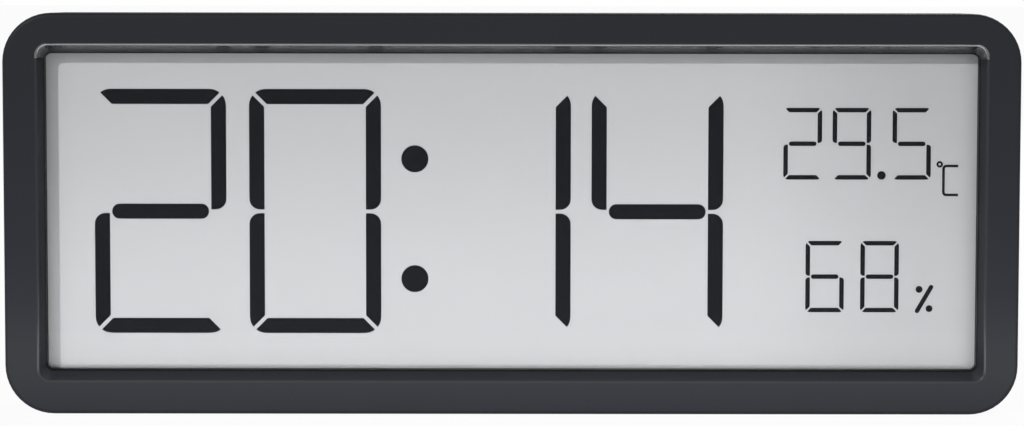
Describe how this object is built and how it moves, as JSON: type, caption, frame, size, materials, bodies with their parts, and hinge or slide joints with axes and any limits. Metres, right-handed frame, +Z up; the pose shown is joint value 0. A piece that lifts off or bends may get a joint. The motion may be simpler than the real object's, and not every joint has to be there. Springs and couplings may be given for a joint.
{
  "type": "thermometer hygrometer clock",
  "caption": "Digital table and wall clock with a bevelled frame around a reflective display for time, temperature and humidity, a fold-out stand, battery door, keyholes and rear buttons.",
  "frame": {"origin": "under the middle of the case, at the flat underside it stands on", "axes": "+X to the right as seen from the front, +Y from the front to the back, +Z up"},
  "size_m": [0.2136, 0.024, 0.0844],
  "materials": {
    "charcoal_plastic": "matte",
    "button_plastic": "satin",
    "clear_plastic": "polished",
    "film": "gloss",
    "display_glass": "polished",
    "display_grey": "satin",
    "reflector_film": "satin",
    "lit_segment": "matte",
    "adhesive": "matte",
    "foam": "matte",
    "seal_resin": "matte",
    "white_plastic": "matte",
    "conductive_rubber": "matte",
    "board_laminate": "satin",
    "resin": "gloss",
    "steel": "satin",
    "sensor_plastic": "matte",
    "chip_ceramic": "matte",
    "black_plastic": "satin",
    "cell_jacket": "gloss",
    "contact_metal": "satin",
    "red_insulation": "satin",
    "black_insulation": "satin"
  },
  "bodies": {
    "case": {"front_frame": "charcoal_plastic", "display_window": "clear_plastic", "window_tape": "adhesive", "display_gasket": "foam", "front_polarizer": "film", "front_glass": "display_glass", "cell_seal": "seal_resin", "rear_glass": "display_grey", "reflector": "reflector_film", "time_digits": "lit_segment", "time_colon": "lit_segment", "temperature_digits": "lit_segment", "temperature_unit": "lit_segment", "humidity_digits": "lit_segment", "humidity_unit": "lit_segment", "carrier": "white_plastic", "carrier_screws": "steel", "contact_strip": "conductive_rubber", "main_board": "board_laminate", "board_screws": "steel", "controller_blob": "resin", "quartz_crystal": "steel", "humidity_sensor": "sensor_plastic", "thermistor": "resin", "chip_parts": "chip_ceramic", "switch_bodies": "black_plastic", "rear_cover": "charcoal_plastic", "case_screws": "steel", "cell_upper": "cell_jacket", "cell_lower": "cell_jacket", "negative_plate": "contact_metal", "positive_plate": "contact_metal", "bridge_plate": "contact_metal", "contact_springs": "contact_metal", "negative_lead": "black_insulation", "positive_lead": "red_insulation"},
    "stand": {"stand": "charcoal_plastic"},
    "battery_door": {"battery_door": "charcoal_plastic"},
    "set_key": {"set_button": "button_plastic", "set_plunger": "black_plastic"},
    "up_key": {"up_button": "button_plastic", "up_plunger": "black_plastic"},
    "down_key": {"down_button": "button_plastic", "down_plunger": "black_plastic"},
    "unit_key": {"unit_button": "button_plastic", "unit_plunger": "black_plastic"}
  },
  "joints": [
    {"name": "stand_hinge", "type": "hinge", "parent": "case", "child": "stand", "pos_m": [0, 0.0094, 0.0465], "axis": [1, 0, 0], "range_deg": [0, 38]},
    {"name": "battery_door_hinge", "type": "hinge", "parent": "case", "child": "battery_door", "pos_m": [0.06575, 0.01105, 0.05315], "axis": [1, 0, 0], "range_deg": [0, 80]},
    {"name": "set_press", "type": "slide", "parent": "case", "child": "set_key", "axis": [0, -1, 0], "range_m": [0, 0.0004], "stiffness_N_per_m": 1000, "springref_m": -0.001},
    {"name": "up_press", "type": "slide", "parent": "case", "child": "up_key", "axis": [0, -1, 0], "range_m": [0, 0.0004], "stiffness_N_per_m": 1000, "springref_m": -0.001},
    {"name": "down_press", "type": "slide", "parent": "case", "child": "down_key", "axis": [0, -1, 0], "range_m": [0, 0.0004], "stiffness_N_per_m": 1000, "springref_m": -0.001},
    {"name": "unit_press", "type": "slide", "parent": "case", "child": "unit_key", "axis": [0, -1, 0], "range_m": [0, 0.0004], "stiffness_N_per_m": 1000, "springref_m": -0.001}
  ]
}
